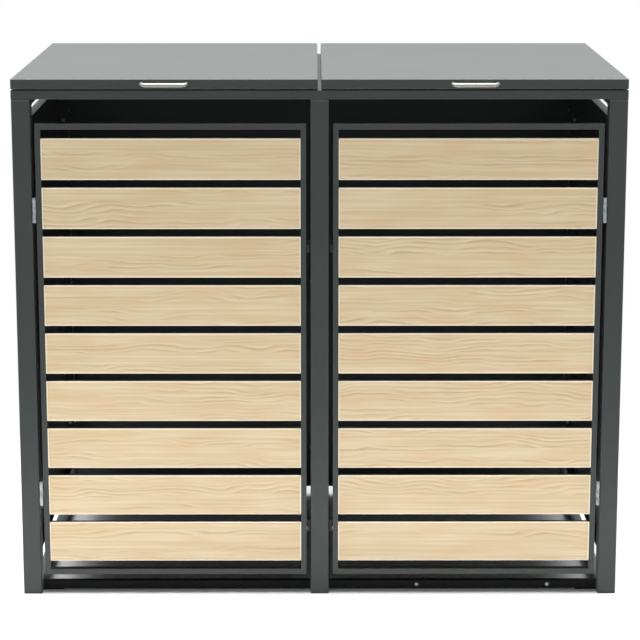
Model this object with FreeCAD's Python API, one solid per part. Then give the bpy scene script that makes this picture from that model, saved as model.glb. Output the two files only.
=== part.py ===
import FreeCAD
import Part

import math
import os

from FreeCAD import Vector

# Steel store for two 240 litre wheelie bins: a welded frame on six posts,
# folded side and back panels, two slatted doors and two flap lids.
#
# Millimetres. The origin is on the ground under the middle of the overall box.
# +X is to the right for someone facing the doors, +Y to the back, +Z up.

# Bays, posts and the overall depth of the frame
bay_width = 600.0
frame_depth = 800.0
post_size = 40.0
post_length = 1103.0
post_wall = 1.5
post_corner = 2.5
least_inner_corner = 0.2

# Plastic feet pushed into the posts
foot_flange = 3.0
foot_plug_height = 18.0
foot_plug_wall = 2.0
foot_fit = 0.2

# Top frame, and the small tubes between the front and rear posts
rail_height = 20.0
rail_wall = 1.5
rail_corner = 2.0
side_tube = 20.0
upper_tube_height = 15.0
side_tube_wall = 1.5
side_tube_corner = 1.5

# Folded panels between the posts
panel_sheet = 1.2
panel_return = 20.0
panel_bend = 2.0
side_panel_ground_gap = 98.0
side_panel_vent = 24.0
back_panel_ground_gap = 30.0
back_panel_vent = 16.0
panel_screw_inset = 100.0
panel_screws_per_side = 3

# Threshold under each door, with its ground plate
threshold_setback = 28.0
threshold_height = 19.0
threshold_sheet = 1.5
threshold_bend = 2.0
anchor_plate_length = 46.0
anchor_plate_depth = 40.0
anchor_hole = 9.0
anchor_hole_inset = 20.0
threshold_screw_inner_inset = 197.0
threshold_screw_outer_inset = 110.0

# Doors: a tube frame filled with folded slats
door_side_gap = 9.0
door_ground_gap = 45.0
door_top_gap = 53.0
door_bar = 12.0
door_depth = 20.0
door_wall = 1.2
door_edge = 1.0
door_drain_hole = 5.0
door_drain_inset = 60.0
slat_count = 9
slat_gap = 17.0
slat_end_gap = 19.0
slat_depth = 12.0
slat_sheet = 1.2
slat_bend = 2.0
slat_setback = 1.5

# Door hinges: butt hinges folded into the side gap
door_hinge_height = 54.0
door_hinge_inset = 187.0
door_hinge_leaf = 2.0
door_hinge_leaf_width = 17.0
hinge_knuckles = 3
knuckle_clearance = 0.3
hinge_pin_radius = 2.5
hinge_pin_head = 1.0
hinge_bore_clearance = 0.05

# Door stops on the middle post and the catches on the doors
stop_sheet = 2.0
stop_height = 26.0
stop_overlap = 13.0
buffer_diameter = 12.0
buffer_height = 2.0
catch_height = 17.0
catch_depth = 12.0
catch_projection = 5.5
catch_edge = 1.0
catch_drop = 271.0
dome_diameter = 9.0
dome_projection = 4.0
dome_rise = 106.0

# Flap lids
lid_gap = 8.0
lid_flange = 22.0
lid_sheet = 1.2
lid_bend = 2.5
lid_front_overhang = 3.0
lid_rear_overhang = 22.0
lid_hem = 18.0
lid_buffer_inset = 60.0
lid_buffer_setback = 8.0
lid_hinge_spacing = 400.0
lid_hinge_length = 60.0
lid_hinge_radius = 5.0
lid_hinge_leaf = 2.0
lid_hinge_height = 1.0
lid_hinge_rail_leaf = 19.0
lid_hinge_arm = 32.0

# Bow handle in the middle of each lid's front
handle_bar = 10.0
handle_centres = 96.0
handle_projection = 30.0
handle_bend = 12.0

# Screws
screw_diameter = 5.0
screw_length = 6.0
screw_head = 9.0
screw_head_height = 2.5
screw_head_crown = 1.5
screw_hole_clearance = 0.1
handle_screw_length = 14.0

# Places that follow from those sizes
frame_width = 3 * post_size + 2 * bay_width
reach_front = lid_front_overhang + handle_projection
reach_back = frame_depth + lid_rear_overhang
front = -(reach_back - reach_front) / 2
rear = front + frame_depth
outer = frame_width / 2
bay_outer = outer - post_size
bay_inner = post_size / 2
posts_behind = front + post_size
posts_before = rear - post_size
post_top = foot_flange + post_length
frame_top = post_top + rail_height
lid_underside = frame_top + buffer_height
lid_top = lid_underside + lid_flange
door_left = -bay_outer + door_side_gap
door_right = -bay_inner - door_side_gap
door_bottom = door_ground_gap
door_top = post_top - door_top_gap
catch_z = door_top - catch_drop
dome_z = door_bottom + dome_rise
lid_width = (frame_width - lid_gap) / 2
lid_centre = (lid_width + lid_gap) / 2
lid_front = front - lid_front_overhang
lid_rear = rear + lid_rear_overhang
lid_axis_y = rear + lid_hinge_radius + knuckle_clearance
lid_axis_z = lid_underside - lid_hinge_height
handle_z = lid_underside + lid_flange / 2
threshold_face = front + threshold_setback
threshold_bottom = foot_flange
anchor_back = threshold_face + anchor_plate_depth
anchor_hole_y = (posts_behind + anchor_back) / 2


def box(x, y, z):
    """Box between pairs of coordinates, each given as (low, high)."""
    size = (x[1] - x[0], y[1] - y[0], z[1] - z[0])
    return Part.makeBox(*size, Vector(x[0], y[0], z[0]))


def along(edge, axis):
    """Whether a straight edge runs along a row axis, given as 0, 1 or 2."""
    run = edge.Vertexes[-1].Point - edge.Vertexes[0].Point
    return abs(abs(run[axis]) - run.Length) < 1e-6 and run.Length > 1e-6


def rounded(shape, radius, axis, keep=None):
    """Round the edges along one axis, or those of them that keep() accepts."""
    edges = [edge for edge in shape.Edges if along(edge, axis)]
    if keep:
        edges = [edge for edge in edges if keep(edge.CenterOfMass)]
    return shape.makeFillet(radius, edges)


def tube(x, y, z, axis, wall, corner):
    """Open-ended rectangular tube along one axis, with rounded corners."""
    spans = [x, y, z]
    inside = [(low + wall, high - wall) for low, high in spans]
    inside[axis] = spans[axis]
    outside = rounded(box(x, y, z), corner, axis)
    return outside.cut(rounded(box(*inside), max(corner - wall, least_inner_corner), axis))


def cylinder(centre, radius, length, direction):
    """Cylinder that starts at centre and runs along direction."""
    return Part.makeCylinder(radius, length, centre, direction)


def mirrored(shape):
    """The same shape on the other side of the middle plane."""
    return shape.mirror(Vector(0, 0, 0), Vector(1, 0, 0))


def shifted(shape, x=0.0, y=0.0, z=0.0):
    """A copy moved by the given distances."""
    return shape.translated(Vector(x, y, z))


def group(shapes):
    """Separate solids that share one node."""
    return Part.makeCompound(shapes)


# Screws


def screw(seat, direction, length):
    """Pan-head screw: the head sits on seat and the shank runs along direction."""
    axis = Vector(*direction)
    head_base = seat - axis * screw_head_height
    head = cylinder(head_base, screw_head / 2, screw_head_height, axis)
    crown = [edge for edge in head.Edges if (edge.CenterOfMass - head_base).Length < 1e-6]
    head = head.makeFillet(screw_head_crown, crown)
    shank = cylinder(seat, screw_diameter / 2, length, axis)
    return head.fuse(shank).removeSplitter()


def screw_hole(seat, direction, length):
    """Clearance hole for such a screw, a little deeper than its shank."""
    axis = Vector(*direction)
    start = seat - axis * screw_hole_clearance
    radius = screw_diameter / 2 + screw_hole_clearance
    return cylinder(start, radius, length + 2 * screw_hole_clearance, axis)


def panel_screw_heights(low, high):
    """Evenly spaced heights, the first and last set in from the panel's ends."""
    first = low + panel_screw_inset
    step = (high - low - 2 * panel_screw_inset) / (panel_screws_per_side - 1)
    return [first + step * index for index in range(panel_screws_per_side)]


side_panel_span = (side_panel_ground_gap, post_top - upper_tube_height - side_panel_vent)
back_panel_span = (back_panel_ground_gap, post_top - back_panel_vent)
screw_places = []
for side in (-1, 1):
    x = side * (bay_outer + panel_return / 2)
    for z in panel_screw_heights(*side_panel_span):
        screw_places.append((Vector(x, posts_behind + panel_sheet, z), (0, -1, 0)))
        screw_places.append((Vector(x, posts_before - panel_sheet, z), (0, 1, 0)))
    for z in panel_screw_heights(*back_panel_span):
        y = posts_before + panel_return / 2
        outward = side * (bay_outer - panel_sheet)
        inward = side * (bay_inner + panel_sheet)
        screw_places.append((Vector(outward, y, z), (side, 0, 0)))
        screw_places.append((Vector(inward, y, z), (-side, 0, 0)))
threshold_middle = threshold_bottom + threshold_height / 2
for x in (bay_inner + threshold_screw_inner_inset, bay_outer - threshold_screw_outer_inset):
    screw_places.append((Vector(x, threshold_face, threshold_middle), (0, 1, 0)))
screw_holes = group([screw_hole(seat, way, screw_length) for seat, way in screw_places])

# Posts and feet


def post(x_centre, y_front):
    """Square tube post, drilled for the panel screws."""
    half = post_size / 2
    x = (x_centre - half, x_centre + half)
    y = (y_front, y_front + post_size)
    z = (foot_flange, post_top)
    return tube(x, y, z, 2, post_wall, post_corner).cut(screw_holes)


def foot(x_centre, y_front):
    """Plastic foot: a flange under the post and a hollow plug inside it."""
    half = post_size / 2
    y_centre = y_front + half
    flange = box((x_centre - half, x_centre + half), (y_front, y_front + post_size),
                 (0, foot_flange))
    flange = rounded(flange, post_corner, 2)
    plug_half = half - post_wall - foot_fit
    bore_half = plug_half - foot_plug_wall
    top = foot_flange + foot_plug_height
    plug = box((x_centre - plug_half, x_centre + plug_half),
               (y_centre - plug_half, y_centre + plug_half), (foot_flange, top))
    plug = rounded(plug, post_corner - post_wall, 2)
    bore = box((x_centre - bore_half, x_centre + bore_half),
               (y_centre - bore_half, y_centre + bore_half), (foot_flange, top))
    return flange.fuse(plug.cut(bore)).removeSplitter()


# Top frame


def mitred_rail(length):
    """Top rail along X with its outer face at y = 0 and both ends cut at 45 degrees."""
    half = length / 2
    corners = [Vector(-half, 0, 0), Vector(half, 0, 0),
               Vector(half - post_size, post_size, 0), Vector(post_size - half, post_size, 0)]
    outline = Part.makePolygon(corners + corners[:1])
    wedge = Part.Face(outline).extrude(Vector(0, 0, rail_height))
    rail = tube((-half, half), (0, post_size), (0, rail_height), 0, rail_wall, rail_corner)
    return rail.common(wedge)


def placed_rail(length, x, y, turn):
    """A mitred rail turned about Z and set on the posts."""
    rail = mitred_rail(length)
    rail.rotate(Vector(0, 0, 0), Vector(0, 0, 1), turn)
    return shifted(rail, x, y, post_top)


def side_tube_at(side, z_low, height):
    """Small tube from the front post to the rear post, flush with the bay."""
    x = sorted((side * bay_outer, side * (bay_outer + side_tube)))
    z = (z_low, z_low + height)
    return tube(x, (posts_behind, posts_before), z, 1, side_tube_wall, side_tube_corner)


# Folded panels and thresholds


def side_panel():
    """Left panel: a sheet set back from the posts' faces, with four returns into the bay."""
    x = (-bay_outer - panel_return, -bay_outer)
    y = (posts_behind, posts_before)
    z = side_panel_span
    pan = box(x, y, z)
    outer_face = x[0]
    for axis in (1, 2):
        pan = rounded(pan, panel_bend, axis, lambda centre: abs(centre.x - outer_face) < 1e-3)
    inside = box((x[0] + panel_sheet, x[1]), (y[0] + panel_sheet, y[1] - panel_sheet),
                 (z[0] + panel_sheet, z[1] - panel_sheet))
    return pan.cut(inside).cut(screw_holes)


def back_panel():
    """Left back panel: the same fold, between two rear posts."""
    x = (-bay_outer, -bay_inner)
    y = (posts_before, posts_before + panel_return)
    z = back_panel_span
    pan = box(x, y, z)
    outer_face = y[1]
    for axis in (0, 2):
        pan = rounded(pan, panel_bend, axis, lambda centre: abs(centre.y - outer_face) < 1e-3)
    inside = box((x[0] + panel_sheet, x[1] - panel_sheet), (y[0], y[1] - panel_sheet),
                 (z[0] + panel_sheet, z[1] - panel_sheet))
    return pan.cut(inside).cut(screw_holes)


def threshold(side):
    """Folded strip between two front posts, with a drilled ground plate at its outer end."""
    x = sorted((side * bay_inner, side * bay_outer))
    y = (threshold_face, posts_behind)
    z = (threshold_bottom, threshold_bottom + threshold_height)
    strip = rounded(box(x, y, z), threshold_bend, 0,
                    lambda centre: abs(centre.y - threshold_face) < 1e-3)
    hollow = box(x, (y[0] + threshold_sheet, y[1]),
                 (z[0] + threshold_sheet, z[1] - threshold_sheet))
    plate_x = sorted((side * bay_outer, side * (bay_outer - anchor_plate_length)))
    plate = box(plate_x, (threshold_face + threshold_bend, anchor_back), (0, foot_flange))
    hole = cylinder(Vector(side * (bay_outer - anchor_hole_inset), anchor_hole_y, 0),
                    anchor_hole / 2, foot_flange, Vector(0, 0, 1))
    return strip.cut(hollow).fuse(plate.cut(hole)).removeSplitter().cut(screw_holes)


# Doors: the left one is drawn and the right one mirrors it


def door_frame():
    """Welded tube frame: hollow bars all round, with drain holes in the bottom bar."""
    x = (door_left, door_right)
    y = (front, front + door_depth)
    z = (door_bottom, door_top)

    def inset(amount, depth):
        return box((x[0] + amount, x[1] - amount), (y[0] + depth, y[1] - depth),
                   (z[0] + amount, z[1] - amount))

    ring = inset(0, 0).cut(inset(door_bar, 0))
    bar_edges = [edge for edge in ring.Edges if not along(edge, 1)]
    ring = ring.makeFillet(door_edge, bar_edges)
    hollow = inset(door_wall, door_wall).cut(inset(door_bar - door_wall, door_wall))
    drains = [cylinder(Vector(place, front + door_depth / 2, door_bottom),
                       door_drain_hole / 2, door_wall, Vector(0, 0, 1))
              for place in (x[0] + door_drain_inset, x[1] - door_drain_inset)]
    return ring.cut(hollow).cut(group(drains))


def slat(index):
    """Folded C-shaped slat between the door's two upright bars, counted from the top."""
    inner_height = door_top - door_bottom - 2 * door_bar
    gaps = 2 * slat_end_gap + (slat_count - 1) * slat_gap
    height = (inner_height - gaps) / slat_count
    top = door_top - door_bar - slat_end_gap - index * (height + slat_gap)
    x = (door_left + door_bar, door_right - door_bar)
    y = (front + slat_setback, front + slat_setback + slat_depth)
    z = (top - height, top)
    face = y[0]
    outside = rounded(box(x, y, z), slat_bend, 0, lambda centre: abs(centre.y - face) < 1e-3)
    channel = box(x, (y[0] + slat_sheet, y[1]), (z[0] + slat_sheet, z[1] - slat_sheet))
    channel = rounded(channel, slat_bend - slat_sheet, 0,
                      lambda centre: abs(centre.y - face - slat_sheet) < 1e-3)
    return outside.cut(channel)


# Hinges


def knuckle_bands(length):
    """Spans of the knuckles along the axis: the outer ones fixed, the middle one moving."""
    step = length / hinge_knuckles
    spans = []
    for index in range(hinge_knuckles):
        low = -length / 2 + index * step
        high = low + step
        if index % 2:
            spans.append((low + knuckle_clearance, high - knuckle_clearance))
        else:
            spans.append((low, high))
    return spans


def door_hinge(z_centre):
    """Post leaf, door leaf and pin of one left door hinge, closed."""
    half_gap = door_side_gap / 2
    radius = half_gap - knuckle_clearance
    axis = Vector(-bay_outer + half_gap, front, z_centre)
    half = door_hinge_height / 2
    bore = cylinder(axis - Vector(0, 0, half), hinge_pin_radius + hinge_bore_clearance,
                    door_hinge_height, Vector(0, 0, 1))
    leaves = []
    for moving, sign in ((0, -1), (1, 1)):
        x = sorted((axis.x + sign * half_gap, axis.x + sign * (half_gap - door_hinge_leaf)))
        y = (front, front + door_hinge_leaf_width)
        plate = box(x, y, (z_centre - half, z_centre + half))
        barrels = []
        notches = []
        for index, (low, high) in enumerate(knuckle_bands(door_hinge_height)):
            if index % 2 == moving:
                base = axis + Vector(0, 0, low)
                barrels.append(cylinder(base, radius, high - low, Vector(0, 0, 1)))
            else:
                notch = (z_centre + low - knuckle_clearance, z_centre + high + knuckle_clearance)
                notches.append(box(x, (front, front + half_gap + knuckle_clearance), notch))
        leaves.append(plate.cut(group(notches)).multiFuse(barrels).cut(bore).removeSplitter())
    pin = cylinder(axis - Vector(0, 0, half + hinge_pin_head), hinge_pin_radius,
                   door_hinge_height + 2 * hinge_pin_head, Vector(0, 0, 1))
    return leaves[0], leaves[1], pin


def lid_hinge(x_centre):
    """Rail leaf, cranked lid leaf and pin of one lid hinge, closed."""
    radius = lid_hinge_radius
    axis = Vector(x_centre, lid_axis_y, lid_axis_z)
    half = lid_hinge_length / 2
    x = (x_centre - half, x_centre + half)
    bore = cylinder(axis - Vector(half, 0, 0), hinge_pin_radius + hinge_bore_clearance,
                    lid_hinge_length, Vector(1, 0, 0))
    wall_y = (rear, rear + lid_hinge_leaf)
    roof = lid_top - lid_sheet
    rail_plate = box(x, wall_y, (lid_axis_z - lid_hinge_rail_leaf, lid_axis_z))
    lid_plate = box(x, wall_y, (lid_axis_z, roof))
    lid_arm = box(x, (rear + lid_hinge_leaf - lid_hinge_arm, rear + lid_hinge_leaf),
                  (roof - lid_hinge_leaf, roof))
    cranked = rounded(lid_plate.fuse(lid_arm).removeSplitter(), lid_hinge_leaf, 0,
                      lambda centre: centre.y > wall_y[1] - 1e-3 and centre.z > roof - 1e-3)
    reach = radius + 2 * knuckle_clearance
    leaves = []
    for moving, plate in ((0, rail_plate), (1, cranked)):
        barrels = []
        notches = []
        for index, (low, high) in enumerate(knuckle_bands(lid_hinge_length)):
            if index % 2 == moving:
                base = axis + Vector(low, 0, 0)
                barrels.append(cylinder(base, radius, high - low, Vector(1, 0, 0)))
            else:
                span = (x_centre + low - knuckle_clearance, x_centre + high + knuckle_clearance)
                notches.append(box(span, wall_y, (lid_axis_z - reach, lid_axis_z + reach)))
        leaves.append(plate.cut(group(notches)).multiFuse(barrels).cut(bore).removeSplitter())
    pin = cylinder(axis - Vector(half + hinge_pin_head, 0, 0), hinge_pin_radius,
                   lid_hinge_length + 2 * hinge_pin_head, Vector(1, 0, 0))
    return leaves[0], leaves[1], pin


# Stops, buffers and catches


def door_stop(z_centre):
    """Angle on the left face of the middle post that ends behind the door's bar."""
    face = front + door_depth + buffer_height
    z = (z_centre - stop_height / 2, z_centre + stop_height / 2)
    x = (door_right - stop_overlap, -bay_inner)
    leg = box((x[1] - stop_sheet, x[1]), (face, posts_behind), z)
    plate = box(x, (face, face + stop_sheet), z)
    angle = leg.fuse(plate).removeSplitter()
    return rounded(angle, stop_sheet, 2,
                   lambda centre: centre.x > x[1] - 1e-3 and centre.y < face + 1e-3)


def door_buffer(z_centre):
    """Rubber disc between a stop and the back of the door's bar."""
    centre = Vector(door_right - door_bar / 2, front + door_depth, z_centre)
    return cylinder(centre, buffer_diameter / 2, buffer_height, Vector(0, 1, 0))


def lid_buffer(x_centre):
    """Rubber disc on the front rail, under the lid's hem."""
    centre = Vector(x_centre, front + lid_buffer_setback, frame_top)
    return cylinder(centre, buffer_diameter / 2, buffer_height, Vector(0, 0, 1))


def door_catch():
    """Magnet housing on the free edge of the left door, level with the upper stop."""
    block = box((door_right, door_right + catch_projection),
                (front + door_depth - catch_depth, front + door_depth),
                (catch_z - catch_height / 2, catch_z + catch_height / 2))
    return rounded(block, catch_edge, 2, lambda centre: centre.x > door_right + 1e-3)


def door_dome():
    """Domed metal button on the free edge of the left door, level with the lower stop."""
    half = dome_diameter / 2
    radius = (half ** 2 + dome_projection ** 2) / (2 * dome_projection)
    centre = Vector(door_right + dome_projection - radius, front + door_depth / 2, dome_z)
    ball = Part.makeSphere(radius, centre)
    edge = box((door_right, door_right + dome_projection),
               (centre.y - radius, centre.y + radius), (dome_z - radius, dome_z + radius))
    return ball.common(edge)


# Lids and handles


def folded_edges(block, radius):
    """Round a block's upright edges and the rim of its top."""
    top = block.BoundBox.ZMax
    edges = [edge for edge in block.Edges
             if along(edge, 2) or abs(edge.CenterOfMass.z - top) < 1e-6]
    return block.makeFillet(radius, edges)


def lid_pan(x_centre):
    """Folded lid: a flat top, four flanges, and hems turned in at the front and sides."""
    x = (x_centre - lid_width / 2, x_centre + lid_width / 2)
    y = (lid_front, lid_rear)
    z = (lid_underside, lid_top)
    sheet = lid_sheet
    inside = box((x[0] + sheet, x[1] - sheet), (y[0] + sheet, y[1] - sheet),
                 (z[0] + sheet, z[1] - sheet))
    pan = folded_edges(box(x, y, z), lid_bend)
    inside = folded_edges(inside, lid_bend - sheet)
    mouth = box((x[0] + lid_hem, x[1] - lid_hem), (y[0] + lid_hem, y[1] - sheet),
                (z[0], z[0] + sheet))
    return pan.cut(inside).cut(mouth)


def handle_legs(x_centre):
    """Where the two legs of a lid's handle meet the lid's front flange."""
    half = handle_centres / 2
    return [Vector(x_centre + sign * half, lid_front, handle_z) for sign in (-1, 1)]


def bow_handle(x_centre):
    """Round bar bent into a bow, with a blind screw hole in the end of each leg."""
    left, right = handle_legs(x_centre)
    reach = handle_projection - handle_bar / 2
    turn = handle_bend * (1 - math.sqrt(0.5))
    left_out = left - Vector(0, reach, 0)
    right_out = right - Vector(0, reach, 0)
    run = Vector(handle_bend, 0, 0)
    rise = Vector(0, handle_bend, 0)
    left_mid = left_out + Vector(turn, turn, 0)
    right_mid = right_out + Vector(-turn, turn, 0)
    path = Part.Wire([
        Part.LineSegment(left, left_out + rise).toShape(),
        Part.Arc(left_out + rise, left_mid, left_out + run).toShape(),
        Part.LineSegment(left_out + run, right_out - run).toShape(),
        Part.Arc(right_out - run, right_mid, right_out + rise).toShape(),
        Part.LineSegment(right_out + rise, right).toShape(),
    ])
    section = Part.Wire(Part.makeCircle(handle_bar / 2, left, Vector(0, 1, 0)))
    bar = path.makePipeShell([section], True, False)
    holes = [cylinder(leg, screw_diameter / 2 + screw_hole_clearance,
                      handle_screw_length, Vector(0, -1, 0))
             for leg in (left, right)]
    return bar.cut(group(holes))


def handle_screw(leg):
    """Screw from inside the lid, through its flange and into one leg of the handle."""
    return screw(leg + Vector(0, lid_sheet, 0), (0, -1, 0), handle_screw_length)


# Build every node

nodes = {}
post_columns = {"left": -outer + post_size / 2, "middle": 0.0, "right": outer - post_size / 2}
post_rows = {"front": front, "rear": posts_before}
feet = []
for row, y_front in post_rows.items():
    for column, x_centre in post_columns.items():
        nodes[row + "_" + column + "_post"] = post(x_centre, y_front)
        feet.append(foot(x_centre, y_front))
nodes["post_feet"] = group(feet)

nodes["front_top_rail"] = placed_rail(frame_width, 0, front, 0)
nodes["rear_top_rail"] = placed_rail(frame_width, 0, rear, 180)
nodes["left_top_rail"] = placed_rail(frame_depth, -outer, (front + rear) / 2, -90)
nodes["right_top_rail"] = placed_rail(frame_depth, outer, (front + rear) / 2, 90)
nodes["middle_top_rail"] = tube((-post_size / 2, post_size / 2), (posts_behind, posts_before),
                                (post_top, frame_top), 1, rail_wall, rail_corner)
for name, side in (("left", -1), ("right", 1)):
    nodes[name + "_upper_side_rail"] = side_tube_at(side, post_top - upper_tube_height,
                                                    upper_tube_height)
    nodes[name + "_bottom_rail"] = side_tube_at(side, foot_flange, side_tube)
    nodes[name + "_threshold"] = threshold(side)
nodes["left_side_panel"] = side_panel()
nodes["right_side_panel"] = mirrored(nodes["left_side_panel"])
nodes["left_back_panel"] = back_panel()
nodes["right_back_panel"] = mirrored(nodes["left_back_panel"])
nodes["frame_screws"] = group([screw(seat, way, screw_length) for seat, way in screw_places])

nodes["left_door_frame"] = door_frame()
nodes["right_door_frame"] = mirrored(nodes["left_door_frame"])
for index in range(slat_count):
    nodes["left_slat_" + str(index + 1)] = slat(index)
    nodes["right_slat_" + str(index + 1)] = mirrored(slat(index))
door_hinges = [door_hinge(z) for z in (door_top - door_hinge_inset, door_bottom + door_hinge_inset)]
post_leaves = [hinge[0] for hinge in door_hinges]
door_leaves = [hinge[1] for hinge in door_hinges]
door_pins = [hinge[2] for hinge in door_hinges]
nodes["door_hinge_post_leaves"] = group(post_leaves + [mirrored(leaf) for leaf in post_leaves])
nodes["left_door_hinge_leaves"] = group(door_leaves)
nodes["right_door_hinge_leaves"] = group([mirrored(leaf) for leaf in door_leaves])
nodes["left_door_catches"] = group([door_catch(), door_dome()])
nodes["right_door_catches"] = mirrored(nodes["left_door_catches"])
stops = [door_stop(z) for z in (catch_z, dome_z)]
nodes["door_stops"] = group(stops + [mirrored(stop) for stop in stops])
buffers = [door_buffer(z) for z in (catch_z, dome_z)]
buffers += [mirrored(disc) for disc in buffers]

rail_leaves = []
lid_pins = []
for name, side in (("left", -1), ("right", 1)):
    centre = side * lid_centre
    hinges = [lid_hinge(centre + sign * lid_hinge_spacing / 2) for sign in (-1, 1)]
    legs = handle_legs(centre)
    handle_holes = [screw_hole(leg + Vector(0, lid_sheet, 0), (0, -1, 0), handle_screw_length)
                    for leg in legs]
    nodes[name + "_lid"] = lid_pan(centre).cut(group(handle_holes))
    nodes[name + "_lid_hinge_leaves"] = group([hinge[1] for hinge in hinges])
    nodes[name + "_handle"] = bow_handle(centre)
    nodes[name + "_handle_screws"] = group([handle_screw(leg) for leg in legs])
    rail_leaves += [hinge[0] for hinge in hinges]
    lid_pins += [hinge[2] for hinge in hinges]
    buffers += [lid_buffer(centre + sign * (lid_width / 2 - lid_buffer_inset)) for sign in (-1, 1)]
nodes["lid_hinge_rail_leaves"] = group(rail_leaves)
nodes["hinge_pins"] = group(door_pins + [mirrored(pin) for pin in door_pins] + lid_pins)
nodes["rubber_buffers"] = group(buffers)

os.makedirs("parts", exist_ok=True)
whole = FreeCAD.BoundBox()
for name, shape in nodes.items():
    if not shape.isValid():
        raise ValueError(name + " is not a valid shape")
    whole.add(shape.BoundBox)
    shape.exportStep("parts/" + name + ".step")
print(len(nodes), "nodes", sum(len(shape.Solids) for shape in nodes.values()), "solids")
print("overall", round(whole.XLength, 1), round(whole.YLength, 1), round(whole.ZLength, 1))
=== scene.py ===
import logging
import math
from dataclasses import dataclass
from enum import Enum
from functools import cached_property

import bmesh
import bpy
import numpy as np
from mathutils import Euler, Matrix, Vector


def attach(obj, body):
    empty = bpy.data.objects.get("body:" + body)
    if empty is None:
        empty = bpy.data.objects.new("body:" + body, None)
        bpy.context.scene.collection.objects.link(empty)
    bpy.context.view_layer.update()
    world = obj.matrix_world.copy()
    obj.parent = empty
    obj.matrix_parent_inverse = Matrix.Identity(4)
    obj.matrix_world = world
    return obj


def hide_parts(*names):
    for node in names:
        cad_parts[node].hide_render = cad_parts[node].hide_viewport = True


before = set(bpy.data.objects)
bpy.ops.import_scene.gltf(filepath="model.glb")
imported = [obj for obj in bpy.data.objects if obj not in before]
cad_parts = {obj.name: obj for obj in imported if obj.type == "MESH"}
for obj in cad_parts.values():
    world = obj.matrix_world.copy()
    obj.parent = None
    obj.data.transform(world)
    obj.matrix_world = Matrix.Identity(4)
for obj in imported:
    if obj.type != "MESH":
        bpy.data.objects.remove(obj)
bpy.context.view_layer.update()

# Double wheelie bin store: the looks of its steel frame, slatted doors and flap lids.
#
# Sizes are in millimetres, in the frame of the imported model, and become metres where a mesh is
# made. +X is to the right for someone facing the doors, +Y to the back and +Z up.

LOG = logging.getLogger("bin_store")
METRE = 0.001
SMOOTH_BELOW = math.radians(32)

SEAM_SINK = 0.05         # how far a ground weld's edges lie under the face
MERGED_BELOW = 1e-6      # metres between points that count as one
SHORTEST_EDGE = 1e-7     # metres
UNDER, OVER = 6, 7       # colour inputs of a Mix node, by number because names repeat
WHITE = (1.0, 1.0, 1.0, 1.0)

Span = tuple[float, float]
Point = tuple[float, float, float]
Row = tuple[float, ...]
Node = bpy.types.Node
Tree = bpy.types.NodeTree
Source = Node | bpy.types.NodeSocket
Inputs = dict[str, Source | tuple | float]

# Frame
OUTER = 660.0
BAY_OUTER = 620.0
BAY_INNER = 20.0
FRONT = -394.5
REAR = 405.5
POST = 40.0
POSTS_BEHIND = FRONT + POST
POSTS_BEFORE = REAR - POST
POST_TOP = 1106.0
FRAME_TOP = 1126.0
SIDE_TUBE = 20.0
UPPER_TUBE = (1091.0, POST_TOP)
BOTTOM_TUBE = (3.0, 23.0)
SIDE_SCREWS = (198.0, 967.0)
BACK_SCREWS = (130.0, 990.0)
THRESHOLD_FACE = -366.5
THRESHOLD_TOP = 22.0

# Doors
DOOR_OUTER = 611.0
DOOR_INNER = 29.0
DOOR_BOTTOM = 45.0
DOOR_TOP = 1053.0
DOOR_BAR = 12.0
DOOR_DEPTH = 20.0
DOOR_BACK = FRONT + DOOR_DEPTH
BOARD_HEIGHT = 90.0
BOARD_LENGTH = DOOR_OUTER - DOOR_INNER - 2 * DOOR_BAR
DOOR_HINGE_HEIGHTS = (866.0, 232.0)

# Lids
LID_CENTRE = 332.0
LID_WIDTH = 656.0
LID_FRONT = -397.5
LID_REAR = 427.5
LID_UNDERSIDE = 1128.0
LID_TOP = 1150.0
LID_SHEET = 1.2
LID_HINGES_APART = 400.0


class Slot(Enum):
    """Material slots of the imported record."""

    COAT = "anthracite_coat"
    DECOR = "wood_decor"
    ZINC = "zinc_plated_steel"
    STEEL = "satin_steel"
    PLASTIC = "black_plastic"
    RUBBER = "black_rubber"


class Side(Enum):
    """Left or right half of the store, with the sign of its X places."""

    LEFT = -1
    RIGHT = 1

    @property
    def word(self) -> str:
        """The side's word in the names of nodes and bodies."""
        return self.name.lower()


class Axis(Enum):
    """Directions of the row frame."""

    X = 0
    Y = 1
    Z = 2


# Surfaces


@dataclass
class Surface:
    """Points in millimetres and blocks of faces, each block with its own finish number."""

    points: np.ndarray
    faces: list[np.ndarray]
    finishes: list[int]

    @staticmethod
    def joined(parts: list["Surface"]) -> "Surface":
        """One surface that holds all the parts.

        Args:
            parts: Surfaces, in the order that they get.

        Returns:
            All their points and faces, each with its finish number.
        """
        faces, finishes, start = [], [], 0
        for part in parts:
            faces += [block + start for block in part.faces]
            finishes += part.finishes
            start += len(part.points)
        return Surface(np.vstack([part.points for part in parts]), faces, finishes)

    def mirrored(self) -> "Surface":
        """The same surface on the other side of the middle plane."""
        return Surface(self.points * (-1, 1, 1), [block[:, ::-1] for block in self.faces],
                       list(self.finishes))


def grid(points: np.ndarray, wrap_rows: bool = False, wrap_columns: bool = False,
         finish: int = 0) -> Surface:
    """Quads between neighbouring points of a grid.

    Args:
        points: Array of shape (rows, columns, 3).
        wrap_rows: Whether the last row joins the first.
        wrap_columns: Whether the last column joins the first.
        finish: Finish number of the faces.

    Returns:
        The surface, open where it doesn't wrap.
    """
    rows, columns = points.shape[:2]
    number = np.arange(rows * columns).reshape(rows, columns)
    if wrap_rows:
        number = np.vstack([number, number[:1]])
    if wrap_columns:
        number = np.hstack([number, number[:, :1]])
    corners = (number[:-1, :-1], number[:-1, 1:], number[1:, 1:], number[1:, :-1])
    quads = np.stack(corners, -1).reshape(-1, 4)
    return Surface(points.reshape(-1, 3), [quads], [finish])


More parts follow.
